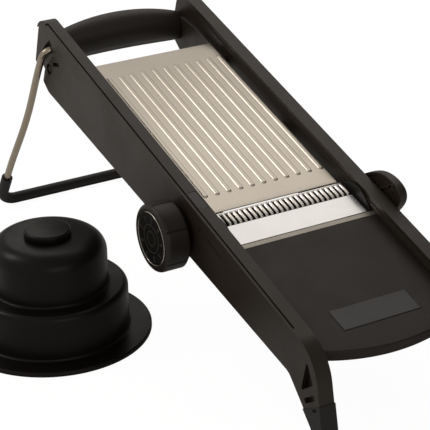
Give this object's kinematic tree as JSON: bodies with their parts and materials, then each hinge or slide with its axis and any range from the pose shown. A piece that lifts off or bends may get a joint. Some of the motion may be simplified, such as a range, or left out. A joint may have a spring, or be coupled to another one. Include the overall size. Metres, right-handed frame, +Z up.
{
  "type": "mandoline slicer",
  "caption": "Black mandoline slicer on a folding wire stand, with a ribbed steel ramp, a rotary blade drum, side knobs and a round two-tier food holder.",
  "frame": {"origin": "middle of the footprint on the bench, food holder included", "axes": "+Y towards the handle end, +X to the selector lever's side, +Z up"},
  "size_m": [0.2579, 0.4355, 0.1646],
  "materials": {
    "black_plastic": "fine-grained moulded plastic",
    "black_rubber": "matt rubber",
    "bush_plastic": "natural acetal",
    "window_plastic": "smoked insert",
    "badge_plastic": "satin plate",
    "ground_steel": "ground",
    "screw_steel": "zinc plated",
    "soft_grip": "soft-touch",
    "shaft_steel": "turned",
    "ramp_steel": "brushed, warm tone",
    "blade_steel": "ground and polished",
    "knob_plastic": "satin",
    "dial_plastic": "printed scale",
    "dial_chrome": "bright rim",
    "gloss_black": "satin-gloss moulding",
    "wire_steel": "nickel plated"
  },
  "bodies": {
    "frame": {"left_rail": "black_plastic", "right_rail": "black_plastic", "left_foot": "black_rubber", "right_foot": "black_rubber", "left_axle_bush": "bush_plastic", "right_axle_bush": "bush_plastic", "left_shaft_bush": "bush_plastic", "right_shaft_bush": "bush_plastic", "left_stand_bush": "bush_plastic", "right_stand_bush": "bush_plastic", "thickness_window": "window_plastic", "runout_deck": "black_plastic", "badge_plate": "badge_plastic", "lip_strip": "ground_steel", "front_brace": "black_plastic", "rear_brace": "black_plastic", "brace_screws": "screw_steel", "left_hinge_bracket": "black_plastic", "right_hinge_bracket": "black_plastic", "handle_grip": "soft_grip", "handle_core": "shaft_steel"},
    "ramp": {"ramp_plate": "ramp_steel", "ramp_carrier": "black_plastic", "ramp_pin": "shaft_steel"},
    "dial": {"thickness_knob": "knob_plastic", "dial_face": "dial_plastic", "dial_ring": "dial_chrome", "thickness_shaft": "shaft_steel", "left_cam": "black_plastic", "right_cam": "black_plastic"},
    "drum": {"drum_frame": "black_plastic", "drum_screws": "screw_steel", "fine_blade": "blade_steel", "fine_teeth": "blade_steel", "straight_blade": "blade_steel", "wide_blade": "blade_steel", "wide_teeth": "blade_steel", "wavy_blade": "blade_steel", "left_axle": "shaft_steel", "right_axle": "shaft_steel", "selector_lever": "knob_plastic"},
    "stand": {"stand_wire": "wire_steel", "stand_sleeve": "black_rubber"},
    "holder": {"holder_shell": "gloss_black"},
    "plunger": {"plunger_cap": "gloss_black", "plunger_rod": "gloss_black", "press_plate": "gloss_black", "prongs": "shaft_steel"}
  },
  "joints": [
    {"name": "thickness_dial", "type": "hinge", "parent": "frame", "child": "dial", "pos_m": [0.05474, -0.0502, 0.08283], "axis": [1, 0, 0], "range_deg": [0, 270]},
    {"name": "ramp_tilt", "type": "hinge", "parent": "frame", "child": "ramp", "pos_m": [0.05474, 0.08934, 0.13644], "axis": [1, 0, 0], "range_deg": [0, 2.83]},
    {"name": "drum_turn", "type": "hinge", "parent": "frame", "child": "drum", "pos_m": [0.05474, -0.08007, 0.07939], "axis": [1, 0, 0], "range_deg": [0, 270]},
    {"name": "stand_fold", "type": "hinge", "parent": "frame", "child": "stand", "pos_m": [0.05474, 0.13174, 0.14669], "axis": [1, 0, 0], "range_deg": [-94, 0]},
    {"name": "holder_lift", "type": "slide", "parent": "frame", "child": "holder", "axis": [-0.3, 0, 0.9539], "range_m": [0, 0.15]},
    {"name": "plunger_slide", "type": "slide", "parent": "holder", "child": "plunger", "axis": [0, 0, 1], "range_m": [0, 0.04]}
  ],
  "couplings": [
    {"joint": "ramp_tilt", "follows": "thickness_dial", "ratio": 0.01049}
  ]
}
